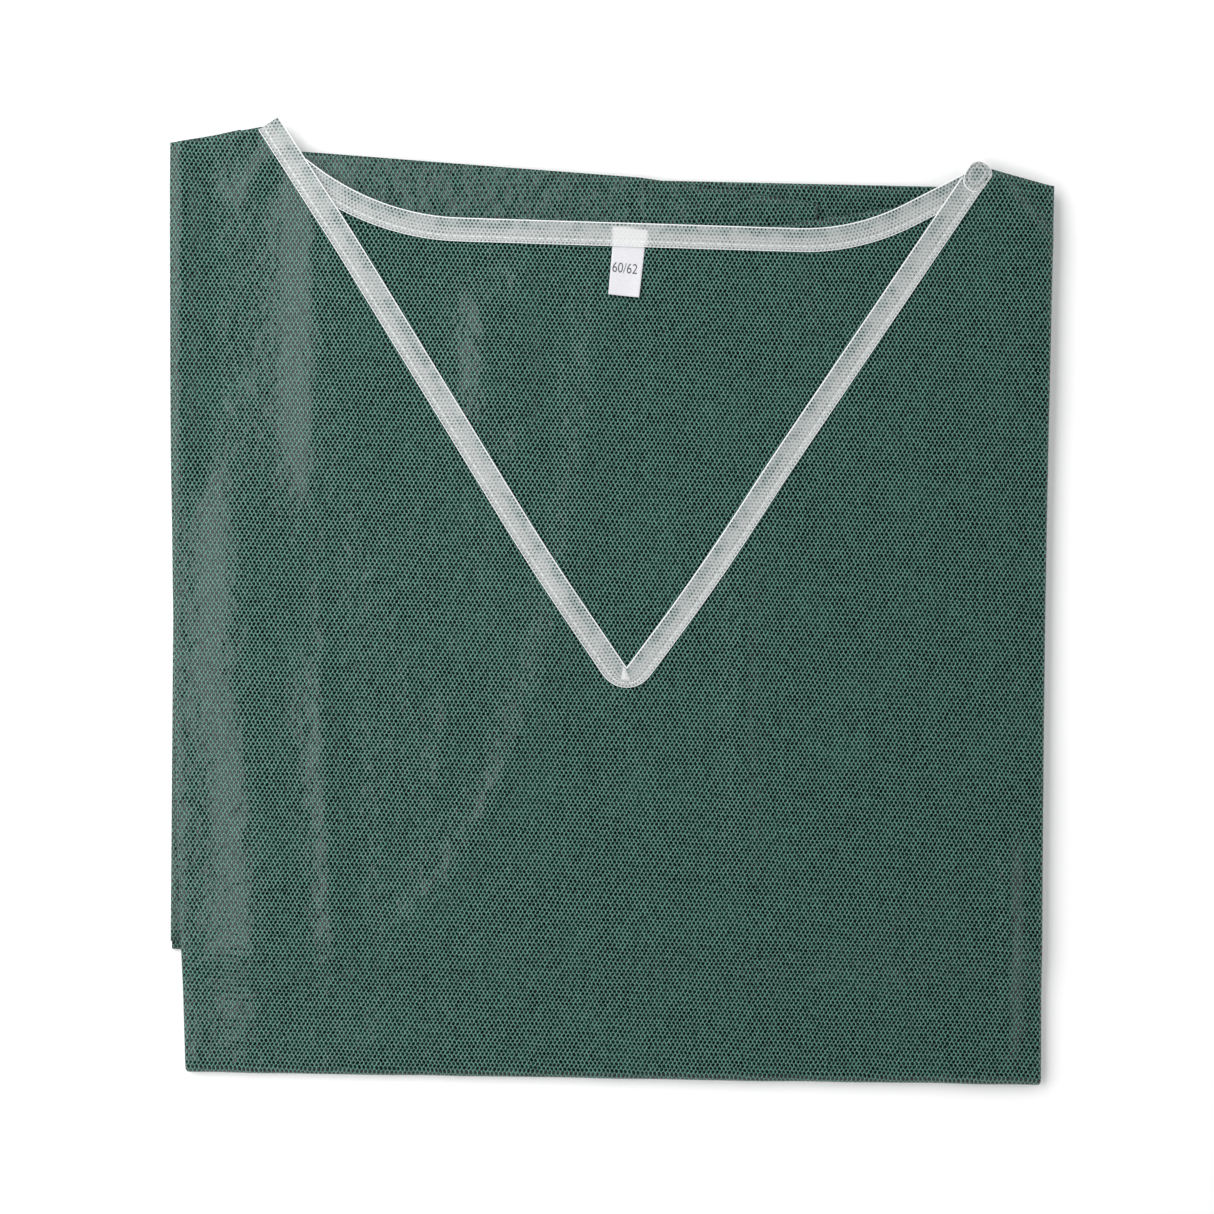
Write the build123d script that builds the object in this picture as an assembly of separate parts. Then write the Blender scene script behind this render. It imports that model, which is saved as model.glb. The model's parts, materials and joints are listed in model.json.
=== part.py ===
"""A nonwoven patient gown, folded for storage: its sides are turned behind it and its length is folded in three.

The gown lies on a table. +Z is up, +Y runs to the neck and +X to the right, and the origin is the centre of the
footprint at table height. Its length makes three thirds that lie on each other: the hem third on the table, the
middle third over it, and the chest third, with the neck, on top. Each third is a front and a back ply of cloth,
with a flap of both plies turned behind it at either side. In the chest third the flaps carry the sleeves.
"""

import os
from math import cos, radians, sin

from build123d import *

# Cloth and tape
PLY = 0.3  # thickness of the nonwoven cloth
PITCH = 0.6  # from one ply of the stack to the next
TAPE = 0.2  # one side of the neck binding, which is folded over the raw edge
TAPE_WIDTH = 10.8
TAPE_GAP = 0.15  # from a binding to what is over or under it
THREAD, THREAD_WIDTH = 0.15, 0.4  # a row of stitches
STITCH_INSET = 8.3  # from the neck edge to the row of stitches
SEAM, SEAM_WIDTH = 0.2, 6.0  # a seam's turned-in edges, between two plies
SEAM_END = 3.0  # a seam stops this far short of the folds and of the neck

# The stack, from the table up: the middle height of each ply, and of the two folds that open
HEM_FLAP_FRONT = PLY / 2
HEM_FLAP_BACK = HEM_FLAP_FRONT + PITCH
HEM_BACK = HEM_FLAP_BACK + PITCH
HEM_FRONT = HEM_BACK + PITCH
TOP_FOLD_Z = HEM_FRONT + PITCH / 2
MIDDLE_FRONT = TOP_FOLD_Z + PITCH / 2
MIDDLE_BACK = MIDDLE_FRONT + PITCH
MIDDLE_FLAP_BACK = MIDDLE_BACK + PITCH
MIDDLE_FLAP_FRONT = MIDDLE_FLAP_BACK + PITCH
FOOT_FOLD_Z = MIDDLE_FLAP_FRONT + PITCH / 2
LEFT_FLAP_FRONT = FOOT_FOLD_Z + PITCH / 2
LEFT_FLAP_BACK = LEFT_FLAP_FRONT + PITCH
RIGHT_FLAP_FRONT = LEFT_FLAP_BACK + PITCH
RIGHT_FLAP_BACK = RIGHT_FLAP_FRONT + PITCH
CHEST_BACK = RIGHT_FLAP_BACK + PLY + TAPE_GAP + TAPE
CHEST_FRONT = CHEST_BACK + PLY + 2 * TAPE + TAPE_GAP

# Lines across the gown, as Y at X = 0 and a slope: the two folds that open, and the two cut hems
FOOT_FOLD = (-212.05, -0.0155)
TOP_FOLD = (190.0, -0.022)
FRONT_HEM = (-155.7, -0.01)
BACK_HEM = (-159.3, -0.01)
FOLD_PLAY = 0.05  # the plies stop this far short of a fold that opens

# Outer side edges of the stack: X at a third's foot end and at its neck end
CHEST_LEFT, CHEST_RIGHT = (-192.5, -198.9), (193.9, 199.6)
MIDDLE_LEFT, MIDDLE_RIGHT = (-192.1, -197.0), (193.4, 198.0)
HEM_LEFT, HEM_RIGHT = (-199.6, -197.0), (195.0, 198.0)
FLAP_WIDTH = 177.0

# Shoulders, from the side folds to the neck
LEFT_SHOULDER_Y, RIGHT_SHOULDER_Y = 206.4, 187.0
LEFT_NECK, RIGHT_NECK = (-164.0, 212.4), (172.1, 193.3)

# The V at the front of the neck: its point, and the direction and length of each side. The sides aren't quite
# straight: V_BOW gives distances from the point, and how far out each side lies there.
V_POINT = (6.8, -29.7)
V_ANGLE = {"left": 122.3, "right": 55.65}
V_LENGTH = {"left": 293.1, "right": 266.0}
V_BOW = {"left": [(228.0, -0.6), (62.0, 2.0)], "right": [(110.0, 0.65), (55.0, 2.35)]}
V_BOW_RADIUS = 1000.0
V_TIP_RADIUS = 13.0
V_STITCH_RADIUS = 10.4

# The back of the neck, left to right: corners and the radii that round them
BACK_NECK = [(-156.7, 214.0), (-104.7, 174.0), (109.2, 167.3), (166.0, 196.3)]
BACK_NECK_RADII = (112.0, 98.0)

# Where the binding's two ends lap, at the right shoulder
LAP_AT, LAP_SIZE, LAP_RADIUS, LAP = (165.4, 192.1), 11.0, 4.5, 0.5

# Sleeves, on the flaps: the top edge from the body to the cut cuff, then the cuff's foot and the underarm
LEFT_SLEEVE_TOP = [(-137.9, 202.6), (12.8, 191.2), (93.4, 179.3)]
LEFT_UNDERARM = [(77.7, -45.6), (-19.4, -62.0)]
RIGHT_SLEEVE_TOP = [(128.0, 177.7), (69.5, 168.5), (-93.0, 141.0)]
RIGHT_UNDERARM = [(-75.0, -84.0), (21.4, -92.0)]

# Size label, sewn in under the upper side of the back binding
LABEL, LABEL_WIDTH, LABEL_DROP, LABEL_TUCK = 0.15, 14.6, 22.0, 8.6
LABEL_AT = (7.7, 159.2)  # where the label comes out of the binding, at the middle of its width
LABEL_LEAN = -5.7  # degrees
LABEL_PLAY = 0.03  # over and under the label, and beside its tuck
LABEL_STEP = 0.5  # from the end of the tuck to the free label
LABEL_STITCH_WIDTH = 12.0


def height_on(line, x, shift=0.0):
    """Y on a line across the gown."""
    return line[0] + line[1] * x + shift


def slab(face, middle, thickness):
    """A flat piece, from its plan, its middle height and its thickness."""
    return extrude(Pos(0, 0, middle - thickness / 2) * face, thickness)


def between(one, other):
    """Plan of a piece that lies between two routes that run the same way."""
    return make_face([one, Line(one @ 1, other @ 1), other, Line(other @ 0, one @ 0)])


def beside(points, distance):
    """The same route, moved a distance to its right, with its corners kept."""
    points = [Vector(*p) for p in points]
    runs = [(b - a).normalized() for a, b in zip(points, points[1:])]
    right = [Vector(run.Y, -run.X) * distance for run in runs]
    moved = [points[0] + right[0]]
    for corner, before, after, shift in zip(points[1:], runs, runs[1:], right):
        turn = before.get_angle(after)
        sign = 1 if before.cross(after).Z > 0 else -1
        moved.append(corner + shift + before * (sign * distance * tan_half(turn)))
    moved.append(points[-1] + right[-1])
    return moved


def tan_half(angle):
    return sin(radians(angle)) / (1 + cos(radians(angle)))


def stepped(start, towards, distance):
    """The point that lies a distance from start, towards another point."""
    start, towards = Vector(*start), Vector(*towards)
    return start + (towards - start).normalized() * distance


def bend(start, end, one, other, outward):
    """Half a tube of cloth, round a fold from start to end, that joins the plies at two heights."""
    radius = abs(other - one) / 2
    start, end = (Vector(*p, (one + other) / 2) for p in (start, end))
    along = (end - start).normalized()
    square_on = outward - along * outward.dot(along)
    ring = Circle(radius + PLY / 2) - Circle(radius - PLY / 2)
    outer_half = Rectangle(4 * radius, 4 * radius, align=(Align.MIN, Align.CENTER))
    plane = Plane(start, x_dir=square_on, z_dir=along)
    return extrude(plane * (ring & outer_half), (end - start).length)


class Third:
    """One third of the gown's length: its plies' heights, its side edges, and the lines where it ends."""

    def __init__(self, name, front, back, flaps, edges, foot, neck=None):
        self.name, self.front, self.back, self.flaps, self.edges = name, front, back, flaps, edges
        self.foot, self.neck = foot, neck

    def side_x(self, side, end):
        """X of a side fold, at the foot end (0) or the neck end (1). The bend stands out past it."""
        reach = (self.front - self.flaps[side]["front"] + PLY) / 2
        inward = abs(reach) if side == "left" else -abs(reach)
        return self.edges[side][end] + inward

    def foot_point(self, x, ply):
        line = self.foot[ply]
        return (x, height_on(line, x, FOLD_PLAY if line is FOOT_FOLD else 0.0))

    def neck_point(self, x):
        return (x, height_on(self.neck, x, -FOLD_PLAY))

    def corners(self, side, ply):
        """Foot and neck ends of a side fold."""
        neck_x = self.side_x(side, 1)
        if self.neck:
            neck = self.neck_point(neck_x)
        else:
            neck = (neck_x, LEFT_SHOULDER_Y if side == "left" else RIGHT_SHOULDER_Y)
        return self.foot_point(self.side_x(side, 0), ply), neck

    def flap_edge(self, side, ply):
        """A flap's free edge, from the foot up: the side seam, and on the chest the whole sleeve."""
        width = FLAP_WIDTH if side == "left" else -FLAP_WIDTH
        foot = self.foot_point(self.edges[side][0] + width, ply)
        if self.neck:
            return [foot, self.neck_point(self.edges[side][1] + width)]
        if side == "left":
            return [foot, *reversed(LEFT_UNDERARM)]
        return [foot, *reversed(RIGHT_UNDERARM)]


def sleeve_top(side):
    return LEFT_SLEEVE_TOP if side == "left" else RIGHT_SLEEVE_TOP


def flap_plan(third, side, ply):
    foot, neck = third.corners(side, ply)
    top = [] if third.neck else list(reversed(sleeve_top(side)))
    return make_face(Polyline(foot, *third.flap_edge(side, ply), *top, neck, close=True))


def v_side(side, along, outward=0.0):
    """A place beside the straight line from the V's point to the end of one side."""
    angle, turn = V_ANGLE[side], 90 if side == "left" else -90
    place = Vector(*V_POINT) + Vector(along, 0).rotate(Axis.Z, angle)
    return place + Vector(outward, 0).rotate(Axis.Z, angle + turn)


def v_route(inset, radius=0.0):
    """An edge of the V's binding, from its left end by the point to its right end, moved outward by an inset."""
    left, right = (
        [v_side(side, *place) for place in [(V_LENGTH[side], 0.0), *V_BOW[side]]] for side in ("left", "right")
    )
    bows = [V_BOW_RADIUS] * len(V_BOW["left"])
    return FilletPolyline(*beside([*left, V_POINT, *reversed(right)], inset), radius=[*bows, radius, *bows])


def back_neck_route(inset):
    radii = [radius + inset for radius in BACK_NECK_RADII]
    return FilletPolyline(*beside(BACK_NECK, inset), radius=radii)


def centre_plan(third, ply):
    """A centre ply. The chest's plies end at the shoulders and the neck edge, inside the binding."""
    left_foot, left_neck = third.corners("left", ply)
    right_foot, right_neck = third.corners("right", ply)
    if third.neck:
        return make_face(Polyline(left_foot, right_foot, right_neck, left_neck, close=True))
    if ply == "front":
        neck = v_route(TAPE)
        sides = Polyline(neck @ 1, RIGHT_NECK, right_neck, right_foot, left_foot, left_neck,
                         LEFT_NECK, v_route(TAPE_WIDTH) @ 0, neck @ 0)
    else:
        neck = back_neck_route(TAPE)
        sides = Polyline(neck @ 1, right_neck, right_foot, left_foot, left_neck, neck @ 0)
    return make_face([neck, sides])


def folded_tape(outer, slot, ply_middle):
    """Binding tape round a raw edge: its outer plan, less a slot for the ply."""
    return slab(outer, ply_middle, PLY + 2 * TAPE) - slab(slot, ply_middle, PLY)


def third_nodes(third):
    """The plies, flaps and side folds of one third."""
    nodes = {}
    for ply, middle in (("front", third.front), ("back", third.back)):
        nodes[f"{ply}_panel_{third.name}"] = slab(centre_plan(third, ply), middle, PLY)
    for side, outward in (("left", Vector(-1, 0, 0)), ("right", Vector(1, 0, 0))):
        folds = []
        for ply, middle in (("front", third.front), ("back", third.back)):
            flap = third.flaps[side][ply]
            nodes[f"{side}_flap_{ply}_{third.name}"] = slab(flap_plan(third, side, ply), flap, PLY)
            folds.append(bend(*third.corners(side, ply), middle, flap, outward))
        nodes[f"{side}_side_fold_{third.name}"] = folds
        nodes[f"{side}_side_seam_{third.name}"] = side_seam(third, side)
    return nodes


def side_seam(third, side):
    """The turned-in edges of a side seam, and on the chest of the underarm, between a flap's plies."""
    edge = third.flap_edge(side, "front")
    edge[0] = stepped(edge[0], edge[1], SEAM_END)
    if third.neck:
        edge[-1] = stepped(edge[-1], edge[-2], SEAM_END)
    inward = -SEAM_WIDTH if side == "left" else SEAM_WIDTH
    route = Polyline(*edge), Polyline(*beside(edge, inward))
    return slab(between(*route), flap_middle(third, side), SEAM)


def flap_middle(third, side):
    return (third.flaps[side]["front"] + third.flaps[side]["back"]) / 2


def shoulder_seam(side):
    """A shoulder seam: one length between the chest's centre plies, and one along the sleeve."""
    sign, neck = (1, LEFT_NECK) if side == "left" else (-1, RIGHT_NECK)
    fold_x, fold_y = CHEST.corners(side, "front")[1]
    start = (fold_x + SEAM_END * sign, fold_y)
    over = [start, (neck[0] - SEAM_END * sign, neck[1])], (CHEST.front + CHEST.back + TAPE_GAP) / 2
    along = [start, *sleeve_top(side)], flap_middle(CHEST, side)
    return [
        slab(between(Polyline(*route), Polyline(*beside(route, SEAM_WIDTH * sign))), middle, SEAM)
        for route, middle in (over, along)
    ]


def opening_fold(line, outward, lower, upper, end):
    """The bends of all plies round a fold that opens, each of its own radius."""
    left = max(third.side_x("left", end) for third in (lower, upper))
    right = min(third.side_x("right", end) for third in (lower, upper))
    spans = [(left, right, lower.front, upper.front), (left, right, lower.back, upper.back)]
    for ply in ("front", "back"):
        spans.append((left, left + FLAP_WIDTH, lower.flaps["left"][ply], upper.flaps["left"][ply]))
        spans.append((right - FLAP_WIDTH, right, lower.flaps["right"][ply], upper.flaps["right"][ply]))
    return [
        bend((start, height_on(line, start)), (stop, height_on(line, stop)), low, high, outward)
        for start, stop, low, high in spans
    ]


CHEST = Third(
    "chest", CHEST_FRONT, CHEST_BACK,
    {"left": {"front": LEFT_FLAP_FRONT, "back": LEFT_FLAP_BACK},
     "right": {"front": RIGHT_FLAP_FRONT, "back": RIGHT_FLAP_BACK}},
    {"left": CHEST_LEFT, "right": CHEST_RIGHT},
    {"front": FOOT_FOLD, "back": FOOT_FOLD},
)
MIDDLE = Third(
    "middle", MIDDLE_FRONT, MIDDLE_BACK,
    {side: {"front": MIDDLE_FLAP_FRONT, "back": MIDDLE_FLAP_BACK} for side in ("left", "right")},
    {"left": MIDDLE_LEFT, "right": MIDDLE_RIGHT},
    {"front": FOOT_FOLD, "back": FOOT_FOLD}, TOP_FOLD,
)
HEM = Third(
    "hem", HEM_FRONT, HEM_BACK,
    {side: {"front": HEM_FLAP_FRONT, "back": HEM_FLAP_BACK} for side in ("left", "right")},
    {"left": HEM_LEFT, "right": HEM_RIGHT},
    {"front": FRONT_HEM, "back": BACK_HEM}, TOP_FOLD,
)


def v_binding():
    """The front binding, cut in two where the V halves."""
    outer = between(v_route(TAPE_WIDTH, V_TIP_RADIUS), v_route(0))
    slot = between(v_route(TAPE_WIDTH, V_TIP_RADIUS), v_route(TAPE))
    whole = folded_tape(outer, slot, CHEST_FRONT)
    halving = (V_ANGLE["left"] + V_ANGLE["right"]) / 2
    cut = Plane(Vector(*V_POINT), z_dir=Vector(-1, 0, 0).rotate(Axis.Z, halving - 90))
    return split(whole, cut, keep=Keep.TOP), split(whole, cut, keep=Keep.BOTTOM)


def thread_row(route, tape_middle):
    """A row of stitches, on the face of a binding."""
    inner, outer = route(STITCH_INSET - THREAD_WIDTH / 2), route(STITCH_INSET + THREAD_WIDTH / 2)
    return slab(between(inner, outer), tape_middle + PLY / 2 + TAPE + THREAD / 2, THREAD)


def label_plan(width, top, foot):
    """Part of the size label's plan, from `top` to `foot` along it. The free label starts at 0."""
    foot_middle = Pos(*LABEL_AT) * Rot(Z=LABEL_LEAN) * Pos(0, -foot)
    return foot_middle * Rectangle(width, foot - top, align=(Align.CENTER, Align.MIN))


def back_binding():
    """The binding at the back of the neck, whose upper side lies over the tuck of the size label."""
    whole = between(back_neck_route(0), back_neck_route(TAPE_WIDTH))
    folded = folded_tape(whole, between(back_neck_route(TAPE), back_neck_route(TAPE_WIDTH)), CHEST_BACK)
    pocket_depth = LABEL + 2 * LABEL_PLAY
    ply_face = CHEST_BACK + PLY / 2
    cover = label_plan(LABEL_WIDTH + 2 * TAPE, -LABEL_TUCK - TAPE, LABEL_STEP) & whole
    cover = slab(cover, ply_face + (pocket_depth + TAPE) / 2, pocket_depth + TAPE)
    pocket = label_plan(LABEL_WIDTH + 2 * LABEL_PLAY, -LABEL_TUCK - LABEL_PLAY, LABEL_STEP)
    return folded + cover - slab(pocket, ply_face + pocket_depth / 2, pocket_depth)


def neck_nodes():
    """The binding, its stitches and the size label."""
    left, right = v_binding()
    lap = RectangleRounded(LAP_SIZE, LAP_SIZE, LAP_RADIUS)
    lap = Pos(*LAP_AT) * Rot(Z=V_ANGLE["right"]) * lap
    ply_face = CHEST_BACK + PLY / 2
    cover_face = ply_face + TAPE + LABEL + 2 * LABEL_PLAY
    label_middle = ply_face + LABEL_PLAY + LABEL / 2
    gap = slab(label_plan(LABEL_WIDTH + 2 * THREAD_WIDTH, -LABEL_TUCK, 0.0), cover_face, 4 * THREAD)
    stitch_at = STITCH_INSET - TAPE_WIDTH
    label_row = label_plan(LABEL_STITCH_WIDTH, stitch_at - THREAD_WIDTH / 2, stitch_at + THREAD_WIDTH / 2)
    return {
        "v_binding_left": left,
        "v_binding_right": right,
        "back_neck_binding": back_binding(),
        "binding_lap": slab(lap, CHEST_FRONT + PLY / 2 + TAPE + LAP / 2, LAP),
        "v_stitching": thread_row(lambda inset: v_route(inset, V_STITCH_RADIUS), CHEST_FRONT),
        "back_neck_stitching": thread_row(back_neck_route, CHEST_BACK) - gap,
        "size_label_tuck": slab(label_plan(LABEL_WIDTH, -LABEL_TUCK, -LABEL_STEP), label_middle, LABEL),
        "size_label_stitching": slab(label_row, cover_face + THREAD / 2, THREAD),
        "size_label": slab(label_plan(LABEL_WIDTH, 0.0, LABEL_DROP), label_middle, LABEL),
    }


def gown():
    nodes = {}
    for third in (CHEST, MIDDLE, HEM):
        nodes |= third_nodes(third)
    nodes["foot_fold"] = opening_fold(FOOT_FOLD, Vector(0, -1, 0), MIDDLE, CHEST, 0)
    nodes["top_fold"] = opening_fold(TOP_FOLD, Vector(0, 1, 0), HEM, MIDDLE, 1)
    for side in ("left", "right"):
        nodes[f"{side}_shoulder_seam"] = shoulder_seam(side)
    return nodes | neck_nodes()


os.makedirs("parts", exist_ok=True)
for name, shape in gown().items():
    solids = [solid for piece in (shape if isinstance(shape, list) else [shape]) for solid in piece.solids()]
    export_step(Compound(children=solids) if len(solids) > 1 else solids[0], f"parts/{name}.step")
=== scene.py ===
"""Looks of the folded patient gown: two panels of embossed nonwoven, neck binding, stitches and size label.

Each panel is one sheet of cloth. It is cut out flat, with coordinates (u, v) along its grain, and then folded
the way the CAD frame says: its sides behind it, and its length in three. Shapes are made in millimetres.
"""

import json
from math import cos, hypot, pi, radians, sin

import bmesh
import bpy
import numpy as np
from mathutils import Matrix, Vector
from mathutils.geometry import delaunay_2d_cdt


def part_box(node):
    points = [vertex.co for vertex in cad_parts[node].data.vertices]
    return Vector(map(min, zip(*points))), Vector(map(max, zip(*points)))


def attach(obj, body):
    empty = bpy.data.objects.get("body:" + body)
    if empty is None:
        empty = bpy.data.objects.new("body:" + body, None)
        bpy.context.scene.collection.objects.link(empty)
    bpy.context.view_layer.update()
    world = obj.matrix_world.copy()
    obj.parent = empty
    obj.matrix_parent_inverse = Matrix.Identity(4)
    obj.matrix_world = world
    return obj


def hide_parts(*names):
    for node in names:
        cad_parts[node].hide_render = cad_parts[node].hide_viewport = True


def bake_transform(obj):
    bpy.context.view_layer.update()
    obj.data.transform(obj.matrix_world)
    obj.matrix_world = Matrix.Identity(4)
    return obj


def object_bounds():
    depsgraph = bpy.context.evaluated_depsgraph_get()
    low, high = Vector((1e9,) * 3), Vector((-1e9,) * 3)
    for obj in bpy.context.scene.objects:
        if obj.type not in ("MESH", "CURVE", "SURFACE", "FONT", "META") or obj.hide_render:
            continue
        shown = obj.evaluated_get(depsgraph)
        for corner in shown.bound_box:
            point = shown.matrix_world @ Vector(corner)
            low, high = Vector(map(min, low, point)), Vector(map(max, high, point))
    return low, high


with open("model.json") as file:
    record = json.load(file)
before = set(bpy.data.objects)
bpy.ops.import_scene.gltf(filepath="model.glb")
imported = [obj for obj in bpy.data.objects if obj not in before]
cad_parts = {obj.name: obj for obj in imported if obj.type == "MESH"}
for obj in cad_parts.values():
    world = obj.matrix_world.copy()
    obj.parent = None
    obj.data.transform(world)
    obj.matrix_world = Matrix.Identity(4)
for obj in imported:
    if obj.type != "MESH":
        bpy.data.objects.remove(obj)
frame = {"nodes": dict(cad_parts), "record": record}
CAD_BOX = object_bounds()
MM = 0.001

# Cloth
THICK = 0.28  # the nonwoven cloth
DOT_PITCH, ROW_PITCH = 1.93, 1.63  # embossed points, along a row and from row to row
FINE, MEDIUM, COARSE = 2.5, 4.5, 6.0  # spacing of mesh points where the cloth shows, and where it is hidden
CURL, BEND = 0.7, 1.0  # spacing of an outline's points round a side fold, and round a cross fold
CLEAR = 0.45  # how far the inner mesh points keep from an outline
ROUND_STEPS = 8  # mesh points round a fold
FLAP_REACH = 300.0  # further than a sleeve reaches from its side fold
CHEST_REACH, HEM_REACH = 440.0, 360.0  # further than these thirds reach from their cross folds
SEAM_THICK, SEAM_SPACING = 0.18, 3.0
GRAIN = radians(1.8)  # the rows of embossed points run down to the right by this much

# Tape
TAPE_WIDTH, TAPE_THICK, TAPE_OFF = 10.8, 0.18, 0.26  # TAPE_OFF is from the ply's middle to the tape's
TAPE_SPACING, LAP_SPACING = 1.6, 0.8
STITCH_INSET, STITCH_PITCH, STITCH_LENGTH, STITCH_RADIUS = 8.3, 3.85, 2.3, 0.2
STITCH_AT = STITCH_INSET / TAPE_WIDTH  # as a share of the tape's width

# Label
LABEL_THICK, RIB_PITCH = 0.15, 0.24
PRINT_WIDTH, PRINT_HEIGHT, PRINT_LIFT = 11.4, 4.6, 0.012
PRINT_AT = (-0.7, 9.3)  # the print's middle, across and down the label

# Studio, in metres
LIGHT_AT, LIGHT_SIZE, LIGHT_POWER = (-1.04, 0.62, 1.0), (1.6, 2.2), 33.0
LENS, SENSOR = 85.0, 36.0
FIELD = 0.5463  # the width seen at the top of the gown
AIM = (-0.002, -0.0026)  # the camera's place from the middle of the gown
FLOOR_HALF = 20.0


# -------- the frame, in millimetres


def flat_loop(node, highest=True):
    """Plan outline of a CAD node: the points round its highest or lowest flat face, anticlockwise."""
    mesh = frame["nodes"][node].data
    points = np.array([v.co for v in mesh.vertices]) / MM
    points, index = np.unique(points.round(3), axis=0, return_inverse=True)
    index = index.ravel()
    level = points[:, 2].max() if highest else points[:, 2].min()
    edges = set()
    for face in mesh.polygons:
        loop = [int(index[i]) for i in face.vertices]
        if max(abs(points[i, 2] - level) for i in loop) < 0.01:
            edges.update((a, b) for a, b in zip(loop, loop[1:] + loop[:1]) if a != b)
    following = {a: b for a, b in edges if (b, a) not in edges}
    loop = [next(iter(following))]
    while following[loop[-1]] != loop[0]:
        loop.append(following[loop[-1]])
    return points[loop if highest else loop[::-1], :2]


def corner(loop, *direction):
    """The point of an outline that lies furthest in a direction."""
    return loop[np.argmax(loop @ np.array(direction))]


def stretch(loop, start, end):
    """The part of an outline from one of its points round to another, both included."""
    first = np.argmin(np.linalg.norm(loop - start, axis=1))
    loop = np.roll(loop, -first, axis=0)
    return loop[: np.argmin(np.linalg.norm(loop - end, axis=1)) + 1]


def level(node):
    """Middle height of a flat CAD node."""
    low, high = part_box(node)
    return (low.z + high.z) / 2 / MM


def line_through(a, b):
    """Y as a function of X on the line through two points."""
    slope = (b[1] - a[1]) / (b[0] - a[0])
    return lambda x: a[1] + slope * (x - a[0])


THIRDS = ("chest", "middle", "hem")
SIDES = ("left", "right")
OUT = {"left": -1, "right": 1}  # which way is outward, in X
CENTRE = {t: flat_loop(f"front_panel_{t}") for t in THIRDS}
FOOT_LINE = line_through(corner(CENTRE["chest"], -1, -1), corner(CENTRE["chest"], 1, -1))
TOP_LINE = line_through(corner(CENTRE["middle"], -1, 1), corner(CENTRE["middle"], 1, 1))
LEVEL = {
    (third, ply): {"centre": level(f"{ply}_panel_{third}")}
    | {side: level(f"{side}_flap_{ply}_{third}") for side in SIDES}
    for third in THIRDS
    for ply in ("front", "back")
}
TOP_LEVEL = LEVEL["chest", "front"]["centre"]


# -------- how the cloth lies


def smooth(t):
    """A smooth step from 0 to 1."""
    t = np.clip(t, 0, 1)
    return t * t * (3 - 2 * t)


def ridge(x, y, route, height, left, right, fade=25.0):
    """A soft fold that runs along a route. `left` and `right` are its widths, looking along the route."""
    route = np.array(route, float)
    best, signed, along, run = np.full(x.shape, np.inf), np.zeros(x.shape), np.zeros(x.shape), 0.0
    for a, b in zip(route, route[1:]):
        d = b - a
        length = np.hypot(*d)
        t = np.clip(((x - a[0]) * d[0] + (y - a[1]) * d[1]) / length**2, 0, 1)
        away = np.hypot(x - a[0] - t * d[0], y - a[1] - t * d[1])
        side = d[0] * (y - a[1]) - d[1] * (x - a[0])
        nearer = away < best
        signed = np.where(nearer, np.sign(side) * away, signed)
        along = np.where(nearer, run + t * length, along)
        best = np.minimum(best, away)
        run += length
    width = np.where(signed > 0, left, right)
    ends = smooth(along / fade) * smooth((run - along) / fade)
    return height * ends * np.exp(-((signed / width) ** 2))


def ridges(total, x, y, rows):
    for row in rows:
        total = total + ridge(x, y, *row)
    return total


def waves(x, y):
    """Broad unevenness of the stack, between about -1 and 1."""
    return (
        0.5 * np.sin(x / 31.0 + 1.3 * np.sin(y / 67.0))
        + 0.3 * np.sin(y / 43.0 - x / 90.0 + 0.8)
        + 0.2 * np.sin((x + y) / 23.0 + 2.1)
    )


def ripples(x, y):
    """Small unevenness of the cloth on top, between about -1 and 1."""
    bent = x + 9 * np.sin(y / 38.0 + 0.4) + 5 * np.sin(y / 17.0 - x / 60.0)
    return (
        0.45 * np.sin(bent / 8.5)
        + 0.3 * np.sin(bent / 5.1 + y / 26.0 + 1.7)
        + 0.25 * np.sin((x - 0.7 * y) / 9.3 + 2.0 * np.sin(y / 31.0))
    )


# How round the two cross folds are: 1 is a half circle, and less is pressed flat
FOOT_BULGE, TOP_BULGE = 1.15, 0.3
SIDE_BOW = {("chest", "left"): -2.0, ("chest", "right"): -1.3}  # how far a side fold bows from straight, in X
HEM_END = corner(flat_loop("back_panel_hem"), -1, -1)[1]
SAG = LEVEL["middle", "front"]["centre"] - 0.4


def sag(y):
    """How far the stack sinks at a place past the end of the hem third."""
    return SAG * smooth((HEM_END + 4 - y) / 26.0)


# Soft folds: route, height, widths at the left and right of the route, and how long each end takes to fade
SWELLS = (
    ([(-133, 222), (-133, 135), (-134, 86), (-131, 20)], 3.3, 38, 11, 50),
    ([(-170, 90), (-171, 28), (-172, -31), (-164, -75), (-160, -150), (-160, -214)], 2.2, 21, 12, 50),
    ([(-134, -15), (-127, -71), (-123, -130), (-120, -190)], 1.3, 6, 11, 25),
    ([(-1, 165), (-7, 109), (-10, 73), (-15, 32), (-26, -22), (-40, -62), (-54, -94), (-72, -126),
      (-100, -156)], 1.5, 7.5, 10, 40),
    ([(60, 30), (59, -60), (62, -139)], 1.3, 5, 9, 25),
    ([(62, -134), (103, -144), (130, -137), (158, -116)], 1.0, 7, 9, 20),
)
FRONT_CREASES = (
    ([(-195, 30), (-194, 226)], 3.4, 5, 9, 45),
    ([(-186, 192), (-150, 184), (-132, 178)], 0.8, 5, 6, 12),
    ([(-190, 205), (-160, 197)], 0.6, 5, 4, 10),
    ([(-126, -175), (-129, -80), (-131, 40)], 0.4, 3.5, 5, 25),
    ([(-69, -36), (-74, -56), (-78, -92)], 0.6, 5, 6, 12),
    ([(178, -215), (179, -160), (178, -96)], 1.6, 4.5, 4, 25),
    ([(196, 60), (196, 190)], 0.8, 12, 4, 40),
    ([(6.2, -40), (8.5, -52)], 0.45, 2, 2, 5),
    ([(168, 194), (185, 174), (200, 154)], 1.5, 6, 8, 8),
    ([(-140, 208), (-158, 196), (-168, 176)], 1.1, 5, 6, 10),
)
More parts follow.
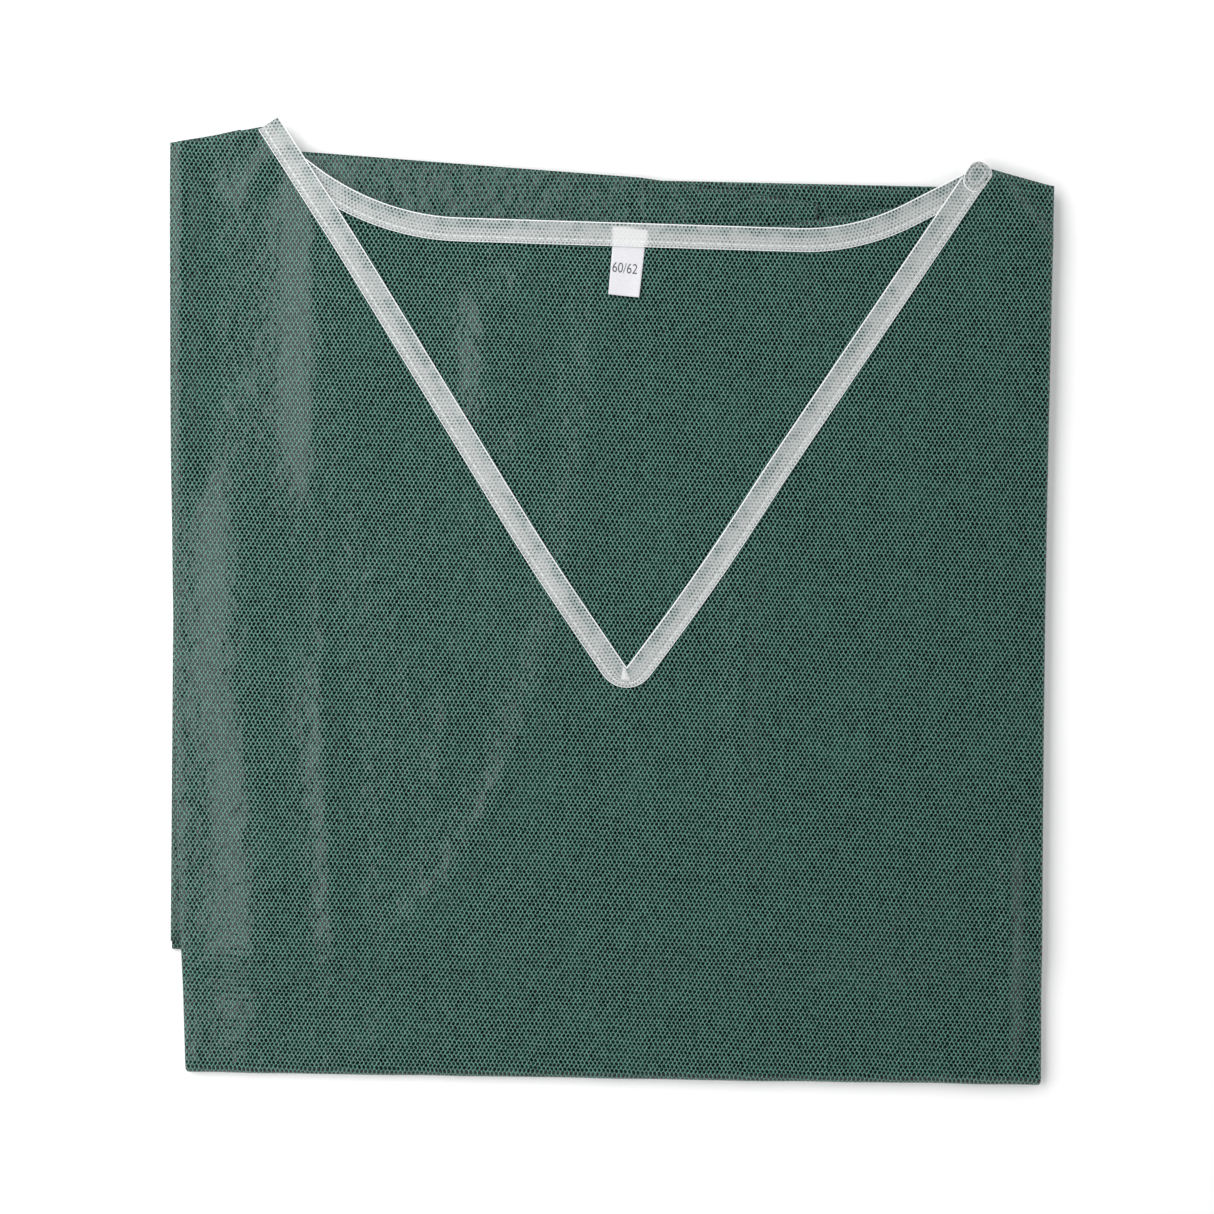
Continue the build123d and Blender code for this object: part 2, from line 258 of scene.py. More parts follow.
BACK_CREASES = (
    ([(-38, 165), (-39, 110), (-40, 50)], 1.9, 5, 10, 25),
    ([(-58, 150), (-57, 110), (-58, 70)], 2.3, 11, 9, 20),
    ([(80, 165), (84, 135), (90, 108)], 1.1, 5, 6, 15),
    ([(16, 130), (18, 60)], 0.8, 6, 12, 20),
)


def swell(x, y):
    """How far the top of the stack stands over its flat level."""
    return np.maximum(ridges(0.3 + 0.3 * waves(x, y), x, y, SWELLS), 0)


def height(third, ply, part, x, y):
    """Height of a ply's middle. The higher a ply lies in the stack, the more it follows the swell."""
    flat = LEVEL[third, ply][part]
    z = flat + swell(x, y) * flat / TOP_LEVEL
    if third != "hem":
        z = z - sag(y)
    if third == "chest" and part == "centre":
        z = z + ridges(0, x, y, BACK_CREASES)
        if ply == "front":
            z = z + ridges(0.2 * ripples(x, y), x, y, FRONT_CREASES)
    return z


class Panel:
    """The front or back panel. (u, v) is a place on its flat cloth: u is X in the centre, and v is the
    distance from the foot fold, up the chest third, or down through the fold to the middle and hem thirds."""

    def __init__(self, ply):
        self.ply = ply
        self.foot_arc = pi * abs(LEVEL["chest", ply]["centre"] - LEVEL["middle", ply]["centre"]) / 2
        self.top_arc = pi * abs(LEVEL["middle", ply]["centre"] - LEVEL["hem", ply]["centre"]) / 2
        self.edge_knots = {side: self.knots(side) for side in SIDES}
        self.split = -self.foot_arc - (TOP_LINE(0) - FOOT_LINE(0)) / 2

    def knots(self, side):
        """v, X of the side fold, and the length of cloth round it, at places along the whole panel."""
        out = OUT[side]
        rows = []
        for third in THIRDS:
            loop = CENTRE[third]
            foot, upper = corner(loop, out, -1), corner(loop, out, 1)
            arc = pi * abs(LEVEL[third, self.ply]["centre"] - LEVEL[third, self.ply][side]) / 2
            for share in np.linspace(0, 1, 9):
                x, y = foot + (upper - foot) * share
                bow = SIDE_BOW.get((third, side), 0.0) * sin(pi * share)
                rows.append((float(self.v_at(third, x, y)), x + bow, arc))
        return np.array(sorted(rows))

    def edge(self, side, v):
        rows = self.edge_knots[side]
        return np.interp(v, rows[:, 0], rows[:, 1]), np.interp(v, rows[:, 0], rows[:, 2])

    def top_fold_v(self, x):
        """v where the middle third ends at the top fold."""
        return -self.foot_arc - (TOP_LINE(x) - FOOT_LINE(x))

    def v_at(self, third, x, y):
        if third == "chest":
            return y - FOOT_LINE(x)
        if third == "middle":
            return -self.foot_arc - (y - FOOT_LINE(x))
        return self.top_fold_v(x) - self.top_arc - (TOP_LINE(x) - y)

    def flap_uv(self, third, side, points):
        """Where points of a flap, as it lies folded, are on the flat cloth."""
        x, y = np.array(points).T
        v = self.v_at(third, x, y)
        edge, arc = self.edge(side, v)
        out = OUT[side]
        return np.stack([edge + out * (arc + out * (edge - x)), v], axis=1)

    def centre_uv(self, third, points):
        x, y = np.array(points).T
        return np.stack([x, self.v_at(third, x, y)], axis=1)

    def across(self, u, v):
        """X, which side's fold a place is in or past, and how far it has turned there, from 0 to 1."""
        x, turn = u.copy(), {}
        for side, out in OUT.items():
            edge, arc = self.edge(side, v)
            past = (u - edge) * out
            turn[side] = np.clip(past / arc, 0, 1)
            folded = edge + out * (arc / pi * np.sin(pi * turn[side]) - np.maximum(past - arc, 0))
            x = np.where(past > 0, folded, x)
        return x, turn

    def stack_height(self, third, x, y, turn, v):
        left, right = (self.edge(side, v)[0] for side in SIDES)
        z = height(third, self.ply, "centre", np.clip(x, left, right), y)
        for side in SIDES:
            flap = height(third, self.ply, side, x, y)
            z = np.where(turn[side] > 0, flap + (z - flap) * (1 + np.cos(pi * turn[side])) / 2, z)
        return z

    def fold(self, uv):
        """Places of the folded cloth."""
        u, v = uv.T
        x, turn = self.across(u, v)
        foot, top = FOOT_LINE(x), TOP_LINE(x)
        top_v = self.top_fold_v(x)
        y_of = {
            "chest": foot + v,
            "middle": foot - self.foot_arc - v,
            "hem": top + v + self.top_arc - top_v,
        }
        flat = {t: self.stack_height(t, x, y_of[t], turn, v) for t in THIRDS}
        in_foot, in_top = (v < 0) & (v > -self.foot_arc), (v < top_v) & (v > top_v - self.top_arc)
        y = np.select([v >= 0, v >= top_v], [y_of["chest"], y_of["middle"]], y_of["hem"])
        z = np.select([v >= 0, v >= top_v], [flat["chest"], flat["middle"]], flat["hem"])
        for where, line, share, out, pair, part in (
            (in_foot, foot, -v / self.foot_arc, -FOOT_BULGE, ("chest", "middle"), "left"),
            (in_top, top, (top_v - v) / self.top_arc, TOP_BULGE, ("middle", "hem"), "centre"),
        ):
            share = np.clip(share, 0, 1)
            pivot = sum(height(third, "front", part, x, line) for third in pair) / 2
            upper, lower = (self.stack_height(t, x, line, turn, v) for t in pair)
            reach = (upper - pivot) + ((pivot - lower) - (upper - pivot)) * smooth(share)
            y = np.where(where, line + out * reach * np.sin(pi * share), y)
            z = np.where(where, pivot + reach * np.cos(pi * share), z)
        return np.stack([x, y, z], axis=1)

    def round_foot(self, u, v):
        """How far round the foot fold a place is, from the middle third (0) to the chest third (1)."""
        return 1 + v / self.foot_arc

    def round_top(self, u, v):
        """How far round the top fold a place is, from the hem third (0) to the middle third (1)."""
        return 1 + (v - self.top_fold_v(self.across(u, v)[0])) / self.top_arc

    def columns(self, v, spacing):
        """u of the mesh's columns where they cross v, from one flap past both side folds to the other."""
        (left, left_arc), (right, right_arc) = self.edge("left", v), self.edge("right", v)
        count = round((right - left) / spacing)
        turned = np.arange(0, ROUND_STEPS + 1) / ROUND_STEPS
        flap = np.arange(COARSE, FLAP_REACH, COARSE)
        return np.concatenate([
            left - left_arc - flap[::-1],
            left - left_arc * turned[::-1],
            left + (right - left) * np.arange(1, count) / count,
            right + right_arc * turned,
            right + right_arc + flap,
        ])


# -------- cutting and folding the panels


def divided(points, spacing):
    """A run of points with more put in, so that none are further apart than the spacing."""
    points, rows = np.array(points), []
    for a, b in zip(points, points[1:]):
        count = max(1, int(np.ceil(np.linalg.norm(b - a) / spacing)))
        rows.extend(a + (b - a) * k / count for k in range(count))
    return np.array(rows + [points[-1]])


def inside(points, outline):
    """Which points lie in an outline."""
    x, y = points.T
    found = np.zeros(len(points), bool)
    for (ax, ay), (bx, by) in zip(outline, np.roll(outline, -1, axis=0)):
        crosses = (ay > y) != (by > y)
        with np.errstate(divide="ignore", invalid="ignore"):
            found ^= crosses & (x < ax + (bx - ax) * (y - ay) / (by - ay))
    return found


def away_from(points, outline, distance):
    """Which points are at least that far from every point of an outline."""
    keep = np.ones(len(points), bool)
    for start in range(0, len(outline), 64):
        gap = points[:, None] - outline[None, start : start + 64]
        keep &= (np.hypot(gap[..., 0], gap[..., 1]) > distance).all(axis=1)
    return keep


def triangles(outline, rows):
    """A mesh of the flat cloth: its points and faces."""
    points = np.concatenate(rows)
    points = points[inside(points, outline)]
    points = points[away_from(points, outline, CLEAR)]
    corners = [Vector(p) for p in np.concatenate([outline, points])]
    found, _, faces, *_ = delaunay_2d_cdt(corners, [], [list(range(len(outline)))], 1, 1e-4)
    return np.array([tuple(p) for p in found]), [list(f) for f in faces]


def flap_corners(ply, third, side):
    """A flap's plan outline and its corners: foot and upper end of the side fold, then of the free edge."""
    loop = flat_loop(f"{side}_flap_{ply}_{third}")
    out = OUT[side]
    ways = (out, -1), (out, 1.2), (-0.3 * out, -1), (-out, 1)
    return loop, *(corner(loop, *way) for way in ways)


def sleeve_edge(panel, side):
    """The chest flap's edge on the flat cloth, from the side fold by the sleeve to the foot fold."""
    loop, _, upper, free_foot, _ = flap_corners(panel.ply, "chest", side)
    run = stretch(loop, free_foot, upper)[::-1] if side == "left" else stretch(loop, upper, free_foot)
    return panel.flap_uv("chest", side, run)


def free_edge(panel, third, side):
    """A straight flap's free edge on the flat cloth, from its foot to its upper end."""
    return panel.flap_uv(third, side, flap_corners(panel.ply, third, side)[3:])


def split_line(panel, spacing):
    """The line that divides a panel in two, in the middle of its middle third, from left to right."""
    ends = []
    for side in SIDES:
        foot, upper = free_edge(panel, "middle", side)
        ends.append(foot + (upper - foot) * (panel.split - foot[1]) / (upper[1] - foot[1]))
    inner = [u for u in panel.columns(panel.split, spacing) if ends[0][0] + 1 < u < ends[1][0] - 1]
    return np.array([ends[0], *[(u, panel.split) for u in inner], ends[1]])


def chest_piece(panel, spacing):
    """Outline and inner mesh points, on the flat cloth, of the chest third and half of the middle third."""
    loop = flat_loop(f"{panel.ply}_panel_chest")
    neck = panel.centre_uv("chest", divided(stretch(loop, corner(loop, 1, 1), corner(loop, -1, 1)), spacing))
    runs, line = [neck], split_line(panel, spacing)
    for side, end in (("left", line[0]), ("right", line[-1])):
        sleeve = sleeve_edge(panel, side)
        middle = free_edge(panel, "middle", side)[0]
        run = np.concatenate([
            divided([neck[-1] if side == "left" else neck[0], sleeve[0]], CURL)[1:],
            divided(sleeve, MEDIUM)[1:],
            divided([sleeve[-1], middle], BEND)[1:],
            divided([middle, end], COARSE)[1:-1],
        ])
        runs.append(run if side == "left" else run[::-1])
    outline = np.concatenate([runs[0], runs[1], line, runs[2]])
    levels = np.concatenate([
        np.arange(0, CHEST_REACH, spacing),
        -panel.foot_arc * np.arange(1, ROUND_STEPS + 1) / ROUND_STEPS,
        np.arange(-panel.foot_arc - COARSE, panel.split, -COARSE),
    ])
    return outline, [np.array([(u, v) for u in panel.columns(v, spacing)]) for v in levels]


def hem_piece(panel, spacing):
    """Outline and inner mesh points, on the flat cloth, of half of the middle third and the hem third."""
    line = split_line(panel, spacing)
    runs, hem = [], {}
    for side, end in (("left", line[0]), ("right", line[-1])):
        middle, free = free_edge(panel, "middle", side), free_edge(panel, "hem", side)
        run = np.concatenate([
            divided([end, middle[1]], COARSE)[1:],
            divided([middle[1], free[1]], BEND)[1:],
            divided(free[::-1], COARSE)[1:],
        ])
        runs.append(run if side == "left" else run[::-1])
        fold_foot = flap_corners(panel.ply, "hem", side)[1]
        hem[side] = free[0], panel.flap_uv("hem", side, [fold_foot])[0]
    loop = flat_loop(f"{panel.ply}_panel_hem")
    centre = panel.centre_uv("hem", [corner(loop, -1, -1), corner(loop, 1, -1)])
    cut = np.concatenate([
        divided(hem["left"], COARSE)[1:],
        divided([hem["left"][1], centre[0]], CURL)[1:],
        divided(centre, spacing)[1:],
        divided([centre[1], hem["right"][1]], CURL)[1:],
        divided(hem["right"][::-1], COARSE)[1:-1],
    ])
    outline = np.concatenate([runs[0], cut, runs[1], line[::-1]])
    steps = round((panel.split - panel.top_fold_v(0)) / COARSE)
    rows = [("middle", k / steps) for k in range(1, steps)]
    rows += [("fold", k / ROUND_STEPS) for k in range(ROUND_STEPS + 1)]
    rows += [("hem", down) for down in np.arange(spacing, HEM_REACH, spacing)]
    placed = []
    for zone, amount in rows:
        nominal = panel.top_fold_v(0) - (amount if zone == "hem" else 0)
        nominal = panel.split + (nominal - panel.split) * amount if zone == "middle" else nominal
        u = panel.columns(nominal, spacing)
        top_v = panel.top_fold_v(panel.across(u, np.full(len(u), nominal))[0])
        v = {
            "middle": panel.split + (top_v - panel.split) * amount,
            "fold": top_v - panel.top_arc * amount,
            "hem": top_v - panel.top_arc - amount,
        }[zone]
        placed.append(np.stack([u, v], axis=1))
    return outline, placed


def into_scene(name, data):
    obj = bpy.data.objects.new(name, data)
    bpy.context.scene.collection.objects.link(obj)
    return obj


def grid_faces(rows, columns, closed=False):
    """Faces between points that are listed row by row. In a closed grid, each row is a ring."""
    for r in range(rows - 1):
        for k in range(columns if closed else columns - 1):
            a, b = r * columns + k, r * columns + (k + 1) % columns
            yield a, b, b + columns, a + columns


def make_mesh(name, points, faces, uv=None, across=None):
    """A smooth mesh from points in millimetres, with cloth coordinates in millimetres as its UV map."""
    mesh = bpy.data.meshes.new(name)
    mesh.from_pydata([tuple(p) for p in np.asarray(points) * MM], [], [list(map(int, f)) for f in faces])
    mesh.shade_smooth()
    corners = np.zeros(len(mesh.loops), int)
    mesh.loops.foreach_get("vertex_index", corners)
    for layer, values in (("cloth", uv), ("across", across)):
        if values is not None:
            values = np.asarray(values, np.float32)[corners]
            mesh.uv_layers.new(name=layer).data.foreach_set("uv", values.ravel())
    return into_scene(name, mesh)


def dress(obj, slot, material, *nodes):
    """Hides the CAD nodes that a piece stands for, and gives it its material."""
    if nodes:
        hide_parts(*nodes)
    obj.data.materials.append(material)
    return obj


def thicken(obj, thickness):
    modifier = obj.modifiers.new("thickness", "SOLIDIFY")
    modifier.thickness = thickness * MM
    modifier.offset = 0


def grain(uv):
    """Cloth coordinates turned to run along the rows of embossed points."""
    return uv @ np.array([[cos(GRAIN), sin(GRAIN)], [-sin(GRAIN), cos(GRAIN)]])


def panel_piece(panel, name, cut, turned, nodes, spacing):
    """Cuts one piece of a panel from the flat cloth, and folds it."""
    outline, rows = cut(panel, spacing)
    flat, faces = triangles(outline, rows)
    obj = make_mesh(name, np.column_stack([turned(*flat.T), flat]), faces, grain(flat))
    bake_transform(obj)
    obj.data.vertices.foreach_set("co", (panel.fold(flat) * MM).astype(np.float32).ravel())
    obj.data.update()
    thicken(obj, THICK)
    dress(obj, "green_nonwoven", CLOTH, *nodes)


def seam_piece(node, plies):
    """The turned-in edges of a seam, between two plies. `plies` gives the third and the part of each loop."""
    points, faces, uv = [], [], []
    for third, part, highest in plies:
        loop = flat_loop(node, highest)
        outline = divided(np.concatenate([loop, loop[:1]]), SEAM_SPACING)[:-1]
        flat, found = triangles(outline, [outline[:0]])
        x, y = flat.T
        z = (height(third, "front", part, x, y) + height(third, "back", part, x, y)) / 2
        faces += [[i + len(points) for i in face] for face in found]
        points += list(np.column_stack([flat, z]))
        uv += list(grain(flat))
    obj = make_mesh(node, points, faces, uv)
    thicken(obj, SEAM_THICK)
    bodies = frame["record"]["behaviour"]["bodies"]
    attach(obj, next(body for body, members in bodies.items() if node in members))
    dress(obj, "green_nonwoven", CLOTH, node)


# -------- the neck binding


def nearest_on(route, points):
    """The nearest places on a route, one for each point."""
    best, found = np.full(len(points), np.inf), np.zeros((len(points), 2))
    for a, b in zip(route, route[1:]):
        t = np.clip((points - a) @ (b - a) / ((b - a) @ (b - a)), 0, 1)
        place = a + t[:, None] * (b - a)
        away = np.linalg.norm(points - place, axis=1)
        found[away < best] = place[away < best]
        best = np.minimum(best, away)
    return found


def distances(route):
    """How far along a route each of its points is."""
    return np.concatenate([[0], np.cumsum(np.linalg.norm(np.diff(route, axis=0), axis=1))])


def places(route, at):
    """The places that far along a route."""
    return np.column_stack([np.interp(at, distances(route), values) for values in route.T])


def evenly(route, spacing):
    """The route again, with evenly spaced points."""
    length = distances(route)[-1]
    return places(route, np.linspace(0, length, max(2, round(length / spacing) + 1)))


class Tape:
    """Binding tape folded over the raw neck edge of a ply, as far as the tape's own outer edge."""

    def __init__(self, neck_edge, outer_edge, surface):
        self.outer = evenly(outer_edge, TAPE_SPACING)
        edge = nearest_on(neck_edge, self.outer)
        width = np.linalg.norm(self.outer - edge, axis=1)[:, None]
        self.inner = edge + (self.outer - edge) * (TAPE_OFF + TAPE_THICK / 2) / width
        self.along = distances(self.outer)
        self.surface = surface

    def plan(self, share):
        """The route that lies that share of the width away from the neck edge."""
        return self.inner + (self.outer - self.inner) * share

    def lift(self, plan, share):
        """How far the upper side stands over the ply: a little more at its edges, which are not pressed."""
        x, y = plan.T
        loose = 0.07 * np.sin(self.along / 6.3) + 0.05 * np.sin(self.along / 2.7 + 1)
        pressed = 0.1 * np.exp(-(((share - STITCH_AT) / 0.05) ** 2))
        edges = (0.5 + loose) * smooth((share - 0.8) / 0.2) + (0.4 - loose) * smooth((0.25 - share) / 0.25)
        return TAPE_OFF - pressed + edges + over_label(x, y)

    def upper(self, share):
        plan = self.plan(share)
        return np.column_stack([plan, self.surface(*plan.T) + self.lift(plan, share)])

    def mesh(self, name):
        shares = np.concatenate([np.linspace(1, 0.8, 6), np.linspace(0.7, 0.1, 7), [0.03]])
        outward = self.inner - self.outer
        outward = outward / np.linalg.norm(outward, axis=1)[:, None]
        rows, across = [self.upper(share) for share in shares], list(shares)
        for k in range(7):
            turn = pi * k / 6
            plan = self.inner + outward * (sin(turn) * TAPE_OFF)
            lift = (self.lift(plan, 0) + TAPE_OFF) / 2 * (1 + cos(turn)) - TAPE_OFF
            rows.append(np.column_stack([plan, self.surface(*self.inner.T) + lift]))
            across.append(-0.03)
        for share in shares[::-1]:
            plan = self.plan(share)
            rows.append(np.column_stack([plan, self.surface(*plan.T) - TAPE_OFF]))
            across.append(share)
        count = len(self.outer)
        faces = [face[::-1] for face in grid_faces(len(rows), count)]
        wide = np.linalg.norm(self.outer - self.inner, axis=1)
        cloth = np.concatenate([np.column_stack([self.along, wide * share]) for share in across])
        place = np.concatenate([
            np.column_stack([np.full(count, share), over_label(*self.plan(share).T) / LABEL_THICK])
            for share in across
        ])
        obj = make_mesh(name, np.concatenate(rows), faces, cloth, place)
        merge(obj)
        thicken(obj, TAPE_THICK)
        return obj

    def stitches(self, name):
        """A row of stitches in the upper side: short threads that dip into the tape at both ends."""
        route = self.upper(STITCH_AT)
        route[:, 2] += TAPE_THICK / 2
        ring, stations, points, faces = 6, np.linspace(0, 1, 7), [], []
        for start in np.arange(STITCH_PITCH / 2, distances(route)[-1] - STITCH_LENGTH, STITCH_PITCH):
            first = len(points)
            line = places(route, start + STITCH_LENGTH * stations)
            ahead = line[-1] - line[0]
            side = np.array([-ahead[1], ahead[0], 0]) / hypot(*ahead[:2])
            for share, place in zip(stations, line):
                bow = sin(pi * share)
                radius = STITCH_RADIUS * (0.45 + 0.55 * bow)
                for k in range(ring):
                    turn = 2 * pi * k / ring
                    lift = radius * (0.8 * sin(turn) + 0.55 * bow - 0.25)
                    points.append(place + side * (radius * cos(turn)) + np.array([0, 0, lift]))
            faces += [tuple(first + i for i in face) for face in grid_faces(len(stations), ring, closed=True)]
            faces.append(tuple(range(first, first + ring))[::-1])
            faces.append(tuple(range(len(points) - ring, len(points))))
        return make_mesh(name, points, faces)


def merge(obj, distance=0.0005):
    """Joins the points of a mesh that coincide."""
    work = bmesh.new()
    work.from_mesh(obj.data)
    bmesh.ops.remove_doubles(work, verts=work.verts, dist=distance * MM)
    work.to_mesh(obj.data)
    work.free()


def over_label(x, y):
    """How far the tape stands up where the size label is tucked in under it."""
    place = (np.stack([x, y], axis=-1) - LABEL_TOP) @ np.stack([LABEL_ACROSS, LABEL_DOWN], axis=1)
    a, d = place[..., 0], place[..., 1]
    edges = smooth((LABEL_WIDTH / 2 + 0.7 - abs(a)) / 0.7) * smooth((d + LABEL_TUCK + 0.7) / 0.7)
    return LABEL_THICK * edges * (d < 2)


def front_surface(x, y):
    return height("chest", "front", "centre", x, y)


def back_surface(x, y):
    return height("chest", "back", "centre", x, y)


def lengthened(route):
    """A route that goes a little further, in under the lap at the right shoulder."""
    ahead = route[-1] - route[-2]
    return np.concatenate([route, [route[-1] + 1.5 * ahead / np.linalg.norm(ahead)]])


def v_binding():
    left, right = (flat_loop(f"v_binding_{side}") for side in SIDES)
    point = corner(left, 1, 0.3)
    neck_edge = np.concatenate([
        stretch(left, point, corner(left, 0.3, 1))[::-1],
        stretch(right, corner(right, -0.3, 1), corner(right, -1, -1))[-3::-1],
    ])
    outer_edge = np.concatenate([
        stretch(left, corner(left, -1, 0.8), corner(left, 0, -1)),
        stretch(right, corner(right, 0, -1), corner(right, 1, 0.4)),
    ])
    return Tape(lengthened(neck_edge), lengthened(outer_edge), front_surface), point


def back_binding():
    loop = flat_loop("back_neck_binding", highest=False)
    neck_edge = stretch(loop, corner(loop, 0.5, 1), corner(loop, 0, 1))[::-1]
    outer_edge = stretch(loop, corner(loop, -1, 0), corner(loop, 1, 0))
    return Tape(neck_edge, outer_edge, back_surface)


def on_chest(obj, slot, material, *nodes):
    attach(obj, "chest_third")
    return dress(obj, slot, material, *nodes)


def lap_piece():
    """The binding's end at the right shoulder, folded under into a rounded tab with a ring pressed in it."""
    loop = flat_loop("binding_lap")
    centre = loop.mean(axis=0)
    base = front_surface(*centre) + TAPE_OFF + TAPE_THICK / 2
    rim = evenly(np.concatenate([loop, loop[:1]]), LAP_SPACING)[:-1]
    # From the rim inwards: share of the way out from the centre, height, and how far across the tape it
    # looks.
    # Near 1 gives the raised rings the tape's painted edge highlight; 0.15 gives the ring's groove a darker
    # colour as painted shade.
    profile = [(1.0, -0.15, 1.0), (1.03, 0.2, 1.0), (1.0, 0.6, 1.0), (0.95, 0.85, 0.98), (0.9, 0.85, 0.8),
               (0.82, 0.6, 0.6), (0.76, 0.3, 0.15), (0.7, 0.35, 0.15), (0.66, 0.65, 0.98), (0.6, 0.75, 0.98),
               (0.52, 0.7, 0.6), (0.4, 0.45, 0.1), (0.2, 0.35, 0.1)]
    count, points, faces = len(rim), [], []
    lean, strip = np.array([-0.8, 0.6]), np.array([-0.56, -0.83])
    for share, lift, _ in profile:
        for i, place in enumerate(rim):
            out = place - centre
            out = out + strip * max(0.0, out @ strip) * 0.5
            plan = centre + out * share + lean * (1 - share)
            ripple = 0.1 * sin(i * 0.9 + 5 * share) * share
            points.append((*plan, base + lift + ripple))
    points.append((*(centre + lean), base + 0.4))
    faces += grid_faces(len(profile), count, closed=True)
    last = (len(profile) - 1) * count
    faces += [(last + i, last + (i + 1) % count, len(points) - 1) for i in range(count)]
    faces.append(tuple(range(count))[::-1])
    plan = np.array(points)[:, :2]
    # These shares, kept as UV, paint the highlight on the raised rings and the shade in the groove
    shares = np.append(np.repeat([share for _, _, share in profile], count), 0.2)
    across = np.column_stack([shares, np.zeros(len(points))])
    obj = make_mesh("binding_lap_tab", points, faces, plan, across)
    obj.modifiers.new("smooth", "SUBSURF").render_levels = 1
    return on_chest(obj, "binding_tape", TAPE, "binding_lap")


def mitre_piece(point):
    """The pinch of tape that is folded over at the point of the V."""
    rows, points = 7, []
    top, foot = point + np.array([-1.0, -0.3]), point + np.array([-0.2, -6.2])
    for r in range(rows):
        share = r / (rows - 1)
        middle = top + (foot - top) * share
        half = 0.6 + 1.8 * share
        for k in range(rows):
            side = -1 + 2 * k / (rows - 1)
            plan = middle + np.array([side * half, -0.4 * side])
            bow = (1 - abs(side)) * 0.9 * sin(pi * min(1, 0.3 + share * 0.65)) + 0.1
            points.append((*plan, front_surface(*plan) + TAPE_OFF + TAPE_THICK / 2 + bow))
    faces = [(a, d, c, b) for a, b, c, d in grid_faces(rows, rows)]
    plan = np.array(points)[:, :2]
    across = np.column_stack([np.full(len(points), 0.7), np.full(len(points), 0.9)])
    obj = make_mesh("binding_mitre_fold", points, faces, plan, across)
    thicken(obj, TAPE_THICK)
    return on_chest(obj, "binding_tape", TAPE)


# -------- the size label

FREE_LABEL, TUCKED_LABEL = flat_loop("size_label"), flat_loop("size_label_tuck")
LABEL_LEFT, LABEL_RIGHT = corner(FREE_LABEL, -1, 1), corner(FREE_LABEL, 1, 1)
LABEL_TOP = (LABEL_LEFT + LABEL_RIGHT) / 2
LABEL_WIDTH = np.linalg.norm(LABEL_RIGHT - LABEL_LEFT)
LABEL_ACROSS = (LABEL_RIGHT - LABEL_LEFT) / LABEL_WIDTH
LABEL_DOWN = np.array([LABEL_ACROSS[1], -LABEL_ACROSS[0]])
LABEL_DROP = (corner(FREE_LABEL, -1, -1) - LABEL_LEFT) @ LABEL_DOWN
LABEL_TUCK = (LABEL_LEFT - corner(TUCKED_LABEL, -1, 1)) @ LABEL_DOWN


def label_place(across, down):
    """A place on the label's middle surface, from the sewn end down. Its free end curls up a little."""
    free = np.clip(down / LABEL_DROP, 0, 1)
    narrow = 1 - 0.045 * free
    plan = LABEL_TOP + np.multiply.outer(across * narrow, LABEL_ACROSS) + np.multiply.outer(down, LABEL_DOWN)
    rise = 0.14 + 1.5 * free**2 + 0.35 * free * (across / LABEL_WIDTH * 2) ** 2
    rise = rise + 0.25 * free * across / LABEL_WIDTH
    z = back_surface(plan[..., 0], plan[..., 1]) + THICK / 2 + rise
    return np.concatenate([plan, z[..., None]], axis=-1)


def label_piece():
    across = np.linspace(-LABEL_WIDTH / 2, LABEL_WIDTH / 2, 19)
    down = np.linspace(-LABEL_TUCK, LABEL_DROP, 41)
    a, d = np.meshgrid(across, down)
    uv = np.column_stack([a.ravel(), d.ravel()])
    faces = [(a, d, c, b) for a, b, c, d in grid_faces(len(down), len(across))]
    obj = make_mesh("size_label_sewn_in", label_place(*uv.T), faces, uv)
    hinge, end = (label_place(np.array([0.0]), np.array([d]))[0] for d in (0.2, 3.0))
    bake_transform(obj)
    thicken(obj, LABEL_THICK)
    dress(obj, "label_satin", LABEL, "size_label", "size_label_tuck")


def label_print():
    """A plain size number printed across the label."""
    curve = bpy.data.curves.new("size_print", "FONT")
    curve.body = "60/62"
    curve.align_x, curve.align_y = "CENTER", "CENTER"
    text = into_scene("size_print", curve)
    bpy.context.view_layer.update()
    mesh = bpy.data.meshes.new_from_object(text.evaluated_get(bpy.context.evaluated_depsgraph_get()))
    bpy.data.objects.remove(text)
    work = bmesh.new()
    work.from_mesh(mesh)
    bmesh.ops.subdivide_edges(work, edges=[e for e in work.edges if e.calc_length() > 0.2], cuts=2)
    bmesh.ops.triangulate(work, faces=work.faces)
    work.to_mesh(mesh)
    work.free()
    co = np.array([v.co for v in mesh.vertices])
    span = co.max(axis=0) - co.min(axis=0)
    co = co - (co.max(axis=0) + co.min(axis=0)) / 2
    a = co[:, 0] / span[0] * PRINT_WIDTH + PRINT_AT[0]
    d = -co[:, 1] / span[1] * PRINT_HEIGHT + PRINT_AT[1]
    place = label_place(a, d)
    place[:, 2] += LABEL_THICK / 2 + PRINT_LIFT
    mesh.vertices.foreach_set("co", (place * MM).astype(np.float32).ravel())
    obj = into_scene("size_print", mesh)
    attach(obj, "size_label")
    obj.data.materials.clear()
    dress(obj, "label_satin", INK)


# -------- materials


